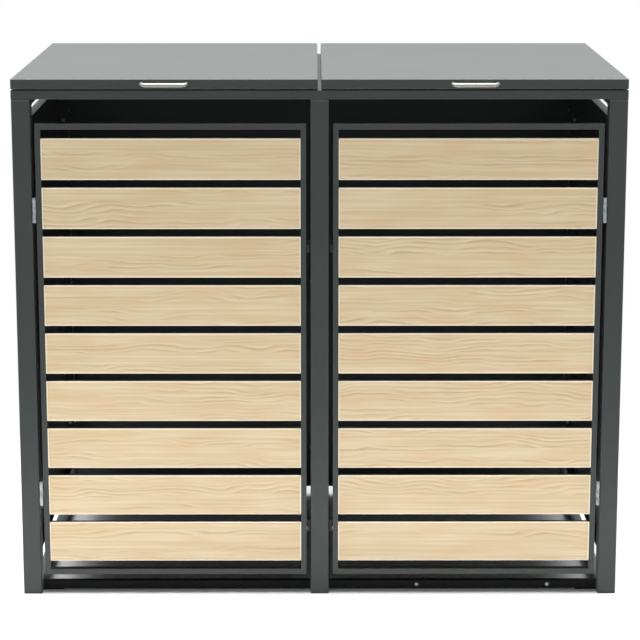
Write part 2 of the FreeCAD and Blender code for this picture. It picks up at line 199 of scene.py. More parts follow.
def capped(points: np.ndarray, finish: int = 0) -> Surface:
    """Rings stacked into a closed body: quads between the rings, a flat face on either end.

    Args:
        points: Array of shape (rings, points in a ring, 3).
        finish: Finish number of the faces.

    Returns:
        A closed surface.
    """
    rows, columns = points.shape[:2]
    body = grid(points, wrap_columns=True, finish=finish)
    first = np.arange(columns)[None, ::-1]
    last = np.arange(columns)[None] + (rows - 1) * columns
    return Surface(body.points, body.faces + [first, last], body.finishes + [finish, finish])


def arc(centre: tuple[float, float], radius: float, start: float, end: float,
        steps: int) -> np.ndarray:
    """Points centre + radius (cos a, sin a), with a running evenly from start to end degrees."""
    angle = np.radians(np.linspace(start, end, steps + 1))
    return np.array(centre) + radius * np.stack([np.cos(angle), np.sin(angle)], -1)


def as_rows(points: np.ndarray) -> list[Row]:
    """Points of a plane as rows of a profile to be turned."""
    return [tuple(point) for point in points]


def ordered(first: float, second: float) -> Span:
    """Two places as a span, the lower one first."""
    return (min(first, second), max(first, second))


def about(middle: float, size: float) -> Span:
    """A span of that size about its middle."""
    return (middle - size / 2, middle + size / 2)


def rounded_rectangle(across: Span, up: Span, radius: float, steps: int = 6) -> np.ndarray:
    """Four quarter circles, one in each corner of a rectangle, counter-clockwise.

    Args:
        across: Lowest and highest first coordinate.
        up: Lowest and highest second coordinate.
        radius: Radius of the corners.
        steps: Steps in each quarter.

    Returns:
        Array of shape (4 * (steps + 1), 2), closed by joining its last point to its first.
    """
    left, right = across[0] + radius, across[1] - radius
    low, high = up[0] + radius, up[1] - radius
    places = (((right, high), 0), ((left, high), 90), ((left, low), 180), ((right, low), 270))
    return np.vstack([arc(place, radius, turn, turn + 90, steps) for place, turn in places])


def in_space(flat: np.ndarray, axis: Axis, place: float) -> np.ndarray:
    """Points of a plane square to an axis, as points in space at that place on the axis."""
    return np.insert(flat, axis.value, place, axis=-1)


def resampled(path: np.ndarray, step: float) -> np.ndarray:
    """A closed path with its points an even step apart along it, by its own length.

    Args:
        path: Array of shape (n, 3), with each point once.
        step: Distance from point to point.

    Returns:
        Array of shape (m, 3), with 8 points or more.
    """
    loop = np.vstack([path, path[:1]])
    length = np.r_[0, np.cumsum(np.linalg.norm(np.diff(loop, axis=0), axis=1))]
    places = np.linspace(0, length[-1], max(8, round(length[-1] / step)), endpoint=False)
    return np.stack([np.interp(places, length, loop[:, i]) for i in range(3)], -1)


def carried(profile: np.ndarray, path: np.ndarray, up: Point, closed: bool = False,
            scale: np.ndarray | None = None) -> Surface:
    """A profile carried along a path.

    At each path point with tangent t the profile's first coordinate runs along t x up and its
    second along (t x up) x t.

    Args:
        profile: Closed outline, array of shape (n, 2).
        path: Array of shape (m, 3).
        up: Direction that the profile's second coordinate leans to.
        closed: Whether the path closes on itself.
        scale: Size of the profile at each path point, 1 where it isn't given.

    Returns:
        A closed surface, with flat ends where the path is open.
    """
    if closed:
        tangent = np.roll(path, -1, axis=0) - np.roll(path, 1, axis=0)
    else:
        tangent = np.gradient(path, axis=0)
    tangent /= np.linalg.norm(tangent, axis=1, keepdims=True)
    side = np.cross(tangent, np.array(up, float))
    side /= np.linalg.norm(side, axis=1, keepdims=True)
    lift = np.cross(side, tangent)
    size = np.ones(len(path)) if scale is None else scale
    points = path[:, None] + size[:, None, None] * (
        profile[None, :, :1] * side[:, None] + profile[None, :, 1:] * lift[:, None])
    if closed:
        return grid(points, wrap_rows=True, wrap_columns=True)
    return capped(points)


def turned(profile: list[Row], base: Point, direction: Point, steps: int = 32) -> Surface:
    """A profile carried round an axis, closed at its poles.

    A row is (radius, height) or (radius, height, hexagon). The point at angle a lies at radius
    times 1 - h + h cos 30 / cos(a mod 60 - 30), where h is the hexagon share: 0 is round and 1 is
    a hexagon whose corners reach the radius.

    Args:
        profile: Rows from one end of the axis to the other.
        base: Where height 0 is.
        direction: Where heights grow to.
        steps: Points in each ring.

    Returns:
        A closed surface, if the profile starts and ends at radius 0.
    """
    rows = np.array([row + (0.0,) * (3 - len(row)) for row in profile])
    axis = np.array(direction, float) / np.linalg.norm(direction)
    helper = np.array((0.0, 0.0, 1.0)) if abs(axis[2]) < 0.9 else np.array((1.0, 0.0, 0.0))
    first = np.cross(helper, axis)
    first /= np.linalg.norm(first)
    second = np.cross(axis, first)
    angle = np.linspace(0, 2 * np.pi, steps, endpoint=False)
    sixth = np.mod(angle, np.pi / 3) - np.pi / 6
    hexagon = math.cos(math.pi / 6) / np.cos(sixth)
    radius = rows[:, :1] * (1 - rows[:, 2:] + rows[:, 2:] * hexagon)
    ring = np.cos(angle)[:, None] * first + np.sin(angle)[:, None] * second
    points = np.array(base) + radius[..., None] * ring + rows[:, 1, None, None] * axis
    return grid(points, wrap_columns=True)


def slab(x: Span, y: Span, z: Span, thin: Axis, corner: float, ease: float,
         finish: int = 0) -> Surface:
    """A plate with rounded corners and eased rims.

    Rounded rectangles are stacked along the thin axis. The first and last lie inside the outline
    by the ease e, and between them a ring at height e (1 - cos a) lies inside by e (1 - sin a).

    Args:
        x: Lowest and highest X.
        y: Lowest and highest Y.
        z: Lowest and highest Z.
        thin: Axis across the plate.
        corner: Radius of the outline's corners.
        ease: Radius of the rims.
        finish: Finish number of the faces.

    Returns:
        A closed surface.
    """
    spans = [x, y, z]
    low, high = spans.pop(thin.value)
    turn = np.radians(np.linspace(0, 90, 4))
    inset = ease * (1 - np.sin(turn))
    height = ease * (1 - np.cos(turn))
    rings = [(a, low + b) for a, b in zip(inset, height)]
    rings += [(a, high - b) for a, b in zip(inset[::-1], height[::-1])]
    points = []
    for amount, place in rings:
        across, up = [(span[0] + amount, span[1] - amount) for span in spans]
        outline = rounded_rectangle(across, up, max(corner - amount, ease / 4))
        points.append(in_space(outline, thin, place))
    return capped(np.array(points), finish)


# Finishes


def linear(colour: str) -> tuple[float, float, float, float]:
    """Linear RGBA of an sRGB hex colour.

    A part c of the colour becomes c / 12.92 up to 0.04045, and ((c + 0.055) / 1.055) ** 2.4 above.

    Args:
        colour: A hash and six hex digits.

    Returns:
        Red, green, blue and alpha, which is 1.
    """
    parts = [int(colour[i:i + 2], 16) / 255 for i in (1, 3, 5)]
    shades = [c / 12.92 if c <= 0.04045 else ((c + 0.055) / 1.055) ** 2.4 for c in parts]
    return (*shades, 1.0)


def per_metre(millimetres: float) -> float:
    """Texture scale at which one feature of a pattern is that many millimetres long."""
    return 1 / (millimetres * METRE)


def add(tree: Tree, kind: str, inputs: dict | tuple = (), stops: tuple[Span, ...] = (),
        **settings: str | bool) -> Node:
    """Add a shader node with its settings and links.

    Args:
        tree: Node tree of the material.
        kind: Node type without its ShaderNode prefix.
        inputs: Inputs by name or number, or in order. Each is a value, an output, or a node,
            which stands for the first of its outputs that is in use.
        stops: Places and greys of a colour ramp, in order.
        **settings: Options of the node.

    Returns:
        The new node.
    """
    node = tree.nodes.new("ShaderNode" + kind)
    for option, value in settings.items():
        setattr(node, option, value)
    for key, value in inputs.items() if isinstance(inputs, dict) else enumerate(inputs):
        if isinstance(value, Node):
            value = next(output for output in value.outputs if output.enabled)
        if isinstance(value, bpy.types.NodeSocket):
            tree.links.new(value, node.inputs[key])
        else:
            node.inputs[key].default_value = value
    ends_first = (stops[0], stops[-1], *stops[1:-1]) if stops else ()
    for index, (place, grey) in enumerate(ends_first):
        elements = node.color_ramp.elements
        stop = elements[index] if index < 2 else elements.new(place)
        stop.position = place
        stop.color = (grey, grey, grey, 1.0)
    return node


def emptied(owner: bpy.types.Material | bpy.types.World) -> Tree:
    """The empty node tree of a new material or world.

    Args:
        owner: New material or world.

    Returns:
        Its node tree, without nodes.
    """
    owner.use_nodes = True
    owner.node_tree.nodes.clear()
    return owner.node_tree


@dataclass(frozen=True)
class Finish:
    """What every finish shares: its name, slot and main colour, and how matt it is."""

    name: str
    slot: Slot
    colour: str
    roughness: float

    def made(self) -> bpy.types.Material:
        """The finish as a Blender material.

        Returns:
            A new material of the finish's name.
        """
        material = bpy.data.materials.new(self.name)
        tree = emptied(material)
        add(tree, "OutputMaterial", (add(tree, "BsdfPrincipled", self.look(tree)),))
        return material

    def look(self, tree: Tree) -> Inputs:
        """The finish's pattern and gloss, as inputs of its shader."""
        raise NotImplementedError

    def laid(self, tree: Tree, share: Source, other: str, matt: Source,
             seen: Span, change: Span, height: Source, depth: float,
             strength: float = 1.0) -> Inputs:
        """Lay a pattern over the finish, in colour, gloss and relief.

        Args:
            tree: Node tree of the material.
            share: How much of the other colour shows.
            other: The other colour.
            matt: What the roughness follows.
            seen: Range of that value over which the roughness changes.
            change: What the roughness gains at the start and at the end of that range.
            height: What the relief follows.
            depth: Height of the relief in millimetres.
            strength: Share of the relief that counts.

        Returns:
            The colour, roughness and normal of the shader.
        """
        tones = {0: share, UNDER: linear(self.colour), OVER: linear(other)}
        rough = (matt, *seen, *(self.roughness + step for step in change))
        relief = {"Height": height, "Distance": depth * METRE, "Strength": strength}
        return {"Base Color": add(tree, "Mix", tones, data_type="RGBA"),
                "Roughness": add(tree, "MapRange", rough), "Normal": add(tree, "Bump", relief)}


@dataclass(frozen=True)
class PowderCoatedSteel(Finish):
    """Steel sheet and tube with a baked polyester powder coat.

    The satin anthracite of the store is an even dark grey, and the thresholds are drawn near
    black, matt and weakly reflecting. Orange peel breaks the long reflections of the room, and
    where the powder lay thinner the coat is a little lighter.
    """

    pale: str = "#2b3331"
    specular: float = 0.5
    sheen: float = 0.08
    peel: float = 5.0          # millimetres between the crests; the real 1 mm wouldn't show
    peel_height: float = 0.011
    speck: float = 1.6         # grain of the powder, drawn twice as coarse as it is
    cloud: float = 170.0       # patches of thicker and thinner coat

    def look(self, tree: Tree) -> Inputs:
        """Clouds and specks in the grey, and two sizes of orange peel.

        Args:
            tree: Node tree of the material.

        Returns:
            Inputs of the shader.
        """
        place = add(tree, "TexCoord").outputs["Object"]
        clouds = add(tree, "TexNoise", {"Vector": place, "Scale": per_metre(self.cloud),
                                        "Detail": 4.0, "Roughness": 0.6})
        specks = add(tree, "TexNoise", {"Vector": place, "Scale": per_metre(self.speck),
                                        "Detail": 1.0})
        peel = add(tree, "TexNoise", {"Vector": place, "Scale": per_metre(self.peel),
                                      "Detail": 2.0, "Roughness": 0.45})
        both = add(tree, "Math", (clouds, specks), operation="MULTIPLY")
        share = add(tree, "MapRange", (both, 0.12, 0.42))
        look = self.laid(tree, share, self.pale, matt=clouds, seen=(0.3, 0.7),
                         change=(-0.012, 0.016), height=peel, depth=self.peel_height)
        fine = add(tree, "Bump", {"Height": specks, "Distance": self.peel_height * METRE / 4,
                                  "Strength": 0.5, "Normal": look["Normal"]})
        return look | {"Normal": fine, "Specular IOR Level": self.specular,
                       "Sheen Weight": self.sheen, "Sheen Roughness": 0.45}


@dataclass(frozen=True)
class WoodPrintedCoat(Finish):
    """Powder-coated steel with a wood print, a film's ink sublimed into the coat under heat.

    The print shows the face of a pale softwood board. In some bands the growth rings are cut at a
    low angle, so their thin dark late wood runs in parallel waves, each with a pale line behind
    it. Between the bands run fine straight fibres. A paler colour painted along the folds at the
    edges is a painted highlight, where the bends catch the light.
    """

    middle: str = "#d5bf98"
    late: str = "#a6825a"
    pale: str = "#e8dabb"
    warm: str = "#d6b58a"
    # painted highlight: the paler colour of the folds stands in for light that the bends catch
    rim: str = "#f8eed8"
    ring: float = 9.6          # millimetres from one growth ring to the next
    ring_wave: float = 30.0    # how far across the board the rings may swing
    ring_run: float = 130.0    # half the length of a swing along the board
    swing: float = 70.0        # how far across the board neighbouring rings swing together
    band: float = 28.0         # height of a band of waved rings
    band_run: float = 800.0
    fibre: float = 6.0         # width of a fibre; the real 0.3 mm wouldn't show
    fibre_run: float = 380.0
    fibre_height: float = 0.02
    patch: float = 130.0       # soft warmer patches, four times as long as high
    painted_highlight_end: Span = (0.0016, 0.0034)   # metres from the edge, where the painted highlight of the folds ends

    def streaks(self, tree: Tree, place: Source, along: float, across: float,
                detail: float = 1.0) -> Node:
        """Noise on the print, in streaks.

        Args:
            tree: Node tree of the material.
            place: Place on the print, in metres.
            along: Length of a streak in millimetres.
            across: Its width in millimetres.
            detail: Number of finer layers.

        Returns:
            Values from 0 to 1.
        """
        scale = (per_metre(along), per_metre(across), 1.0)
        stretched = add(tree, "Mapping", {"Vector": place, "Scale": scale})
        return add(tree, "TexNoise", {"Vector": stretched, "Scale": 1.0, "Detail": detail},
                   noise_dimensions="2D")

    def years(self, tree: Tree, place: Source) -> Node:
        """Fractions of v / ring + wave / ring x noise(u / run, v / swing) + a small ripple.

        Args:
            tree: Node tree of the material.
            place: Place on the print, in metres.

        Returns:
            Values that run from 0 to 1 over each growth ring.
        """
        across = add(tree, "SeparateXYZ", (place,)).outputs["Y"]
        even = add(tree, "Math", (across, per_metre(self.ring)), operation="MULTIPLY")
        swing = self.streaks(tree, place, self.ring_run, self.swing, 0.5)
        swung = add(tree, "Math", (swing, self.ring_wave / self.ring, even),
                    operation="MULTIPLY_ADD")
        ripple = self.streaks(tree, place, self.ring_run * 0.55, self.ring * 2)
        rippled = add(tree, "Math", (ripple, 0.8, swung), operation="MULTIPLY_ADD")
        return add(tree, "Math", (rippled,), operation="FRACT")

    def from_edge(self, tree: Tree) -> Node:
        """Distance from the nearest edge: the least of half a side - |place from the middle|.

        Args:
            tree: Node tree of the material.

        Returns:
            The distance in metres.
        """
        middle = add(tree, "SeparateXYZ", (add(tree, "UVMap", uv_map="middle"),))
        reaches = []
        for place, side in zip(middle.outputs, (BOARD_LENGTH, BOARD_HEIGHT)):
            away = add(tree, "Math", (place,), operation="ABSOLUTE")
            reaches.append(add(tree, "Math", (side / 2 * METRE, away), operation="SUBTRACT"))
        return add(tree, "Math", tuple(reaches), operation="MINIMUM")

    def look(self, tree: Tree) -> Inputs:
        """Waved rings in bands, straight fibres between them, soft patches and painted fold
        highlights.

        Args:
            tree: Node tree of the material.

        Returns:
            Inputs of the shader.
        """
        place = add(tree, "UVMap", uv_map="print").outputs["UV"]
        year = self.years(tree, place)
        dark = add(tree, "ValToRGB", (year,), ((0.0, 0.0), (0.4, 0.04), (0.7, 0.25),
                                               (0.84, 0.58), (0.93, 0.45), (1.0, 0.0)))
        light = add(tree, "ValToRGB", (year,), ((0.0, 0.2), (0.1, 0.5), (0.25, 0.35),
                                                (0.45, 0.0), (1.0, 0.0)))
        fibres = self.streaks(tree, place, self.fibre_run, self.fibre, 2.0)
        bands = self.streaks(tree, place, self.band_run, self.band)
        bands = add(tree, "MapRange", (bands, 0.46, 0.6, 0.04, 0.76))
        fades = self.streaks(tree, place, self.ring_run, self.ring)
        fades = add(tree, "MapRange", (fades, 0.36, 0.6, 0.2, 1.0))
        warmth = self.streaks(tree, place, self.patch, self.patch / 4)
        warmth = add(tree, "MapRange", (warmth, 0.42, 0.7, 0.0, 0.45))
        plain = add(tree, "MapRange", (fibres, 0.34, 0.66))
        shown, streaked = [add(tree, "Math", (bands, other), operation="MULTIPLY")
                           for other in (fades, fibres)]
        ringed, lit = [add(tree, "Math", (line, shown), operation="MULTIPLY")
                       for line in (dark, light)]
        # Painted highlight: within a few millimetres of each edge the colour turns paler, for the
        # light that the folds catch.
        folds = add(tree, "MapRange", (self.from_edge(tree), *self.painted_highlight_end, 0.9, 0.0))
        colour = linear(self.colour)
        for share, tone in ((plain, self.middle), (streaked, self.middle), (warmth, self.warm),
                            (ringed, self.late), (lit, self.pale), (folds, self.rim)):
            colour = add(tree, "Mix", {0: share, UNDER: colour, OVER: linear(tone)},
                         data_type="RGBA")
        matt = add(tree, "MapRange", (dark, 0.0, 1.0, self.roughness, self.roughness + 0.08))
        relief = add(tree, "Bump", {"Height": fibres, "Strength": 0.6,
                                    "Distance": self.fibre_height * METRE})
        return {"Base Color": colour, "Roughness": matt, "Normal": relief}


@dataclass(frozen=True)
class ZincPlatedSteel(Finish):
    """Pressed and turned steel, electroplated with zinc and passivated.

    A bright, slightly blue grey with faint cloudy patches, and fine marks of the rolling mill.
    """

    shade: str = "#7b8084"
    cloud: float = 9.0
    scratch: float = 0.6
    scratch_run: float = 15.0
    scratch_depth: float = 0.004

    def look(self, tree: Tree) -> Inputs:
        """Clouds in colour and gloss, and fine scratches along Z in the relief.

        Args:
            tree: Node tree of the material.

        Returns:
            Inputs of the shader.
        """
        place = add(tree, "TexCoord").outputs["Object"]
        clouds = add(tree, "TexNoise", {"Vector": place, "Scale": per_metre(self.cloud),
                                        "Detail": 3.0})
        share = add(tree, "MapRange", (clouds, 0.35, 0.7))
        scale = [per_metre(step) for step in (self.scratch, self.scratch, self.scratch_run)]
        drawn = add(tree, "Mapping", {"Vector": place, "Scale": scale})
        marks = add(tree, "TexNoise", {"Vector": drawn, "Scale": 1.0})
        look = self.laid(tree, share, self.shade, matt=clouds, seen=(0.3, 0.7),
                         change=(-0.06, 0.1), height=marks, depth=self.scratch_depth,
                         strength=0.5)
        return look | {"Metallic": 1.0}


@dataclass(frozen=True)
class BrushedStainlessSteel(Finish):
    """Round stainless bar, bent cold and brushed round its girth with a fine belt.

    A warm light grey with a soft stretched highlight, crossed by hair-fine brush lines.
    """

    shade: str = "#7d7d76"
    brush: float = 0.5         # the real lines are 0.1 mm apart, which wouldn't show
    brush_run: float = 6.0
    brush_depth: float = 0.006

    def look(self, tree: Tree) -> Inputs:
        """Lines that change quickly along X and slowly round the bar.

        Args:
            tree: Node tree of the material.

        Returns:
            Inputs of the shader.
        """
        place = add(tree, "TexCoord").outputs["Object"]
        scale = [per_metre(step) for step in (self.brush, self.brush_run, self.brush_run)]
        drawn = add(tree, "Mapping", {"Vector": place, "Scale": scale})
        lines = add(tree, "TexNoise", {"Vector": drawn, "Scale": 1.0, "Detail": 3.0})
        share = add(tree, "MapRange", (lines, 0.35, 0.75))
        look = self.laid(tree, share, self.shade, matt=lines, seen=(0.0, 1.0),
                         change=(0.0, 0.18), height=lines, depth=self.brush_depth,
                         strength=0.4)
        return look | {"Metallic": 1.0, "Anisotropic": 0.35}


@dataclass(frozen=True)
class MouldedBlack(Finish):
    """Black polymer from a spark-eroded mould: polyethylene for the feet, rubber for buffers.

    Near black, with the mould's fine grain, and a grey bloom in the hollows of the grain.
    """

    bloom: str = "#2b2c2c"
    grain: float = 0.9
    grain_height: float = 0.03

    def look(self, tree: Tree) -> Inputs:
        """Cells of the eroded grain in relief, with the bloom where they are low.

        Args:
            tree: Node tree of the material.

        Returns:
            Inputs of the shader.
        """
        place = add(tree, "TexCoord").outputs["Object"]
        cells = add(tree, "TexVoronoi", {"Vector": place, "Scale": per_metre(self.grain)})
        haze = add(tree, "TexNoise", {"Vector": place, "Scale": per_metre(self.grain * 14),
                                      "Detail": 3.0})
        share = add(tree, "Math", (cells, haze), operation="MULTIPLY")
        return self.laid(tree, share, self.bloom, matt=haze, seen=(0.0, 1.0),
                         change=(-0.08, 0.08), height=cells, depth=self.grain_height,
                         strength=0.6)


class Look(Enum):
    """The finishes of the store."""

    COAT = PowderCoatedSteel("powder_coated_steel", Slot.COAT, "#242b2a", 0.34)
    BLACK = PowderCoatedSteel("matt_black_coated_steel", Slot.COAT, "#0c0e0e", 0.6,
                              pale="#141717", specular=0.15, sheen=0.0)
    DECOR = WoodPrintedCoat("wood_printed_coat", Slot.DECOR, "#dfcdad", 0.42)
    ZINC = ZincPlatedSteel("zinc_plated_steel", Slot.ZINC, "#a9aeb1", 0.36)
    STEEL = BrushedStainlessSteel("brushed_stainless_steel", Slot.STEEL, "#9c9c96", 0.24)
    PLASTIC = MouldedBlack("moulded_polyethylene", Slot.PLASTIC, "#141617", 0.5)
    RUBBER = MouldedBlack("moulded_rubber", Slot.RUBBER, "#111111", 0.78)

    @cached_property
    def material(self) -> bpy.types.Material:
        """The finish's material, made once."""
        return self.value.made()


# Pieces


def make_piece(name: str, parts: list[Surface], looks: tuple[Look, ...], body: str,
               *replaces: str) -> bpy.types.Object:
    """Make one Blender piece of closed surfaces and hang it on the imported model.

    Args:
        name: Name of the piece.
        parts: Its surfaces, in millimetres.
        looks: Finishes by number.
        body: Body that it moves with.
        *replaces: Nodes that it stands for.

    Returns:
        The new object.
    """
    surface = Surface.joined(parts)
    mesh = bpy.data.meshes.new(name)
    faces = [row for block in surface.faces for row in block.tolist()]
    mesh.from_pydata((surface.points * METRE).tolist(), [], faces)
    numbers = np.repeat(surface.finishes, [len(block) for block in surface.faces])
    mesh.polygons.foreach_set("material_index", numbers.astype(np.int32))
    for look in looks:
        mesh.materials.append(look.material)
    tidy = bmesh.new()
    tidy.from_mesh(mesh)
    bmesh.ops.remove_doubles(tidy, verts=tidy.verts, dist=MERGED_BELOW)
    bmesh.ops.dissolve_degenerate(tidy, edges=tidy.edges, dist=SHORTEST_EDGE)
    bmesh.ops.recalc_face_normals(tidy, faces=tidy.faces)
    tidy.to_mesh(mesh)
    tidy.free()
    mesh.shade_smooth()
    mesh.set_sharp_from_angle(angle=SMOOTH_BELOW)
    piece = bpy.data.objects.new(name, mesh)
    bpy.context.scene.collection.objects.link(piece)
    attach(piece, body)
    if replaces:
        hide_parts(*replaces)
    LOG.info("%s: %d faces on %s", name, len(mesh.polygons), body)
    return piece


def dress(look: Look, *nodes: str) -> None:
    """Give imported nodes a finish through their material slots.

    Args:
        look: The finish.
        *nodes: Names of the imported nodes.
    """
    for name in nodes:
        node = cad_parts[name]
        if not node.material_slots:
            node.data.materials.append(look.material)
        for place in node.material_slots:
            place.material = look.material
        LOG.info("%s dressed in %s", name, look.value.name)


# Small parts


def pan_screw(seat: Point, direction: Point, shank: float) -> Surface:
    """Pan-head screw with a hexagon socket.

    Args:
        seat: Middle of the face that the head sits on.
        direction: Where the head points to.
        shank: Length of the shank behind the seat.

    Returns:
        A closed surface. Its profile is the shank, the head's rounded crown and the socket.
    """
    head, rise, crown, thread, socket = 4.5, 2.5, 1.5, 2.5, 1.95
    profile = [(0.0, -shank), (thread - 0.4, -shank), (thread, 0.4 - shank), (thread, 0.0)]
    profile += [(head, 0.0), *as_rows(arc((head - crown, rise - crown), crown, 0, 90, 6))]
    profile += [(socket + 0.25, rise, 0.6), (socket, rise - 0.2, 1.0), (socket, 0.9, 1.0)]
    return turned(profile + [(0.0, 0.7)], seat, direction, steps=24)


def countersunk(seat: Point, direction: Point) -> Surface:
    """Head of a countersunk screw, a little proud of its plate, with a hexagon socket.

    Args:
        seat: Middle of the face that it sits on.
        direction: Where it points to.

    Returns:
        A closed surface, turned about that direction.
    """
    head, proud, socket = 3.4, 0.25, 1.3
    profile = [(0.0, -1.2), (head - 1.2, -1.2), (head, -0.1), (head, 0.1), (head - 0.3, proud)]
    profile += [(socket + 0.2, proud, 0.6), (socket, proud - 0.1, 1.0), (socket, -0.9, 1.0)]
    return turned(profile + [(0.0, -1.0)], seat, direction, steps=24)


def rubber_disc(seat: Point, direction: Point, radius: float = 6.0,
                height: float = 2.0) -> Surface:
    """Buffer disc with a rounded rim and a shallow dish in its face.

    Args:
        seat: Middle of the face that it sits on.
        direction: Where it points to.
        radius: Radius of the disc.
        height: Height of its rim.

    Returns:
        A closed surface, turned about that direction.
    """
    rim = 0.7
    profile = [(0.0, 0.0), (radius, 0.0)]
    profile += as_rows(arc((radius - rim, height - rim), rim, 0, 90, 5))
    profile += [(radius * 0.62, height), (radius * 0.5, height - 0.25), (0.0, height - 0.35)]
    return turned(profile, seat, direction, steps=36)


def domed_button(seat: Point, direction: Point, radius: float, rise: float) -> Surface:
    """A dome of that radius and rise, cut from a sphere of radius (r^2 + h^2) / 2h.

    Args:
        seat: Middle of the face that it sits on.
        direction: Where it points to.
        radius: Radius of the dome's foot.
        rise: Height of the dome.

    Returns:
        A closed surface, turned about that direction.
    """
    sphere = (radius ** 2 + rise ** 2) / (2 * rise)
    reach = math.degrees(math.asin(radius / sphere))
    dome = as_rows(arc((0.0, rise - sphere), sphere, 90 - reach, 90, 10))
    return turned([(0.0, 0.0)] + dome, seat, direction)


def bead(path: np.ndarray, up: Point, radius: float, ripple: float = 1.7,
         swell: float = 0.1) -> Surface:
    """Weld bead round a closed path.

    The section is a circle, and its size is 1 + swell |sin(pi s / ripple)| at the length s along
    the path, which gives the scales that a weld pool leaves.

    Args:
        path: Array of shape (n, 3).
        up: Direction square to the face that it lies on.
        radius: Radius of the bead.
        ripple: Length of a scale.
        swell: How much thicker it gets.

    Returns:
        A closed surface.
    """
    step = 0.8
    route = resampled(path, step)
    length = np.arange(len(route)) * step
    scale = 1 + swell * np.abs(np.sin(np.pi * length / ripple))
    section = arc((0, 0), radius, 0, 360, 8)[:-1]
    return carried(section, route, up, closed=True, scale=scale)


def seam(start: Point, end: Point, up: Point, width: float = 1.8,
         height: float = 0.22) -> Surface:
    """Ground weld seam between two points: a low lens of that width and height.

    Args:
        start: Where the seam starts.
        end: Where it ends.
        up: Direction square to the face that it lies on.
        width: Width of the seam.
        height: Height in its middle.

    Returns:
        A closed surface, whose top is height x (1 - (2 x / width) ^ 2).
    """
    half, root = width / 2, 0.2
    x = np.linspace(-half, half, 7)
    top = np.stack([x, height * (1 - (x / half) ** 2)], -1)
    section = np.vstack([top, [(half, -root), (-half, -root)]])
    return carried(section, np.linspace(start, end, 12), up)


# Sub-assemblies


@dataclass(frozen=True)
class Barrel:
    """Three knuckles round a hinge's pin: the outer two are fixed and the middle one moves."""

    base: Point                    # middle of the barrel on its axis
    axis: Axis
    length: float
    radius: float
    play: float = 0.3              # between neighbouring knuckles
    rim: float = 0.5
    pin_radius: float = 2.5
    pin_head: float = 1.0

    @property
    def direction(self) -> Point:
        """The way that the axis points."""
        return tuple(np.eye(3)[self.axis.value])

    def pin(self) -> Surface:
        """Pin with a low domed head on either end, outside the knuckles.

        Returns:
            A closed surface.
        """
        radius, head = self.pin_radius, self.pin_head
        half = self.length / 2 + head
        profile = [(0.0, -half), (radius * 0.6, 0.25 * head - half), (radius, head - half)]
        profile += [(radius, half - head), (radius * 0.6, half - 0.25 * head), (0.0, half)]
        return turned(profile, self.base, self.direction, steps=24)

    def knuckle(self, low: float, high: float) -> Surface:
        """One rolled knuckle, with rounded rims.

        Args:
            low: Where it starts along the axis, from the base.
            high: Where it ends.

        Returns:
            A closed surface.
        """
        rim, inner = self.rim, self.radius - self.rim
        profile = [(0.0, low), (inner, low), *as_rows(arc((inner, low + rim), rim, -90, 0, 4))]
        profile += [*as_rows(arc((inner, high - rim), rim, 0, 90, 4)), (0.0, high)]
        return turned(profile, self.base, self.direction)

    def knuckles(self, moving: bool, thin: Axis, first: Span, second: Span) -> list[Surface]:
        """Knuckles of one leaf, each with the tab that joins it to the leaf.

        Args:
            moving: Whether the leaf is the moving one.
            thin: Axis across the tab.
            first: Span of the tabs along the first of the axes square to the pin.
            second: Span of the tabs along the second of them.

        Returns:
            Tabs and knuckles in turn.
        """
        end, sixth = self.length / 2, self.length / 6
        bands = [(self.play - sixth, sixth - self.play)]
        if not moving:
            bands = [(-end, -sixth), (sixth, end)]
        parts = []
        for band in bands:
            spans = [first, second]
            along = tuple(self.base[self.axis.value] + place for place in band)
            spans.insert(self.axis.value, along)
            parts += [slab(*spans, thin, corner=0.3, ease=0.1), self.knuckle(*band)]
        return parts


@dataclass(frozen=True)
class DoorHinge:
    """Butt hinge in the gap beside a door, with its barrel in the plane of the door's face."""

    side: Side
    height: float
    axis_x: float = 615.5
    length: float = 54.0
    radius: float = 4.2
    faces: Span = (2.5, 4.5)       # of a leaf, measured from the axis
    plate: Span = (4.8, 17.0)      # front and rear edge of a leaf, behind the door's face
    tab: float = 6.0
    screw_row: float = 11.0        # behind the door's face
    screws_apart: float = 34.0

    @property
    def barrel(self) -> Barrel:
        """Upright barrel of the hinge."""
        base = (self.side.value * self.axis_x, FRONT, self.height)
        return Barrel(base, Axis.Z, self.length, self.radius)

    def leaf(self, moving: bool) -> Surface:
        """One leaf with its knuckles and two screws: the door's, or else the post's.

        Args:
            moving: Whether it is the door's.

        Returns:
            All of it as one.
        """
        way = self.side.value * (-1 if moving else 1)
        face, back = [self.side.value * self.axis_x + way * reach for reach in self.faces]
        x, y = ordered(face, back), (FRONT + self.plate[0], FRONT + self.plate[1])
        z = about(self.height, self.length)
        parts = [slab(x, y, z, Axis.X, corner=2.0, ease=0.2)]
        parts += self.barrel.knuckles(moving, Axis.X, x, (FRONT, FRONT + self.tab))
        for place in about(self.height, self.screws_apart):
            parts.append(countersunk((face, FRONT + self.screw_row, place), (-way, 0, 0)))
        return Surface.joined(parts)


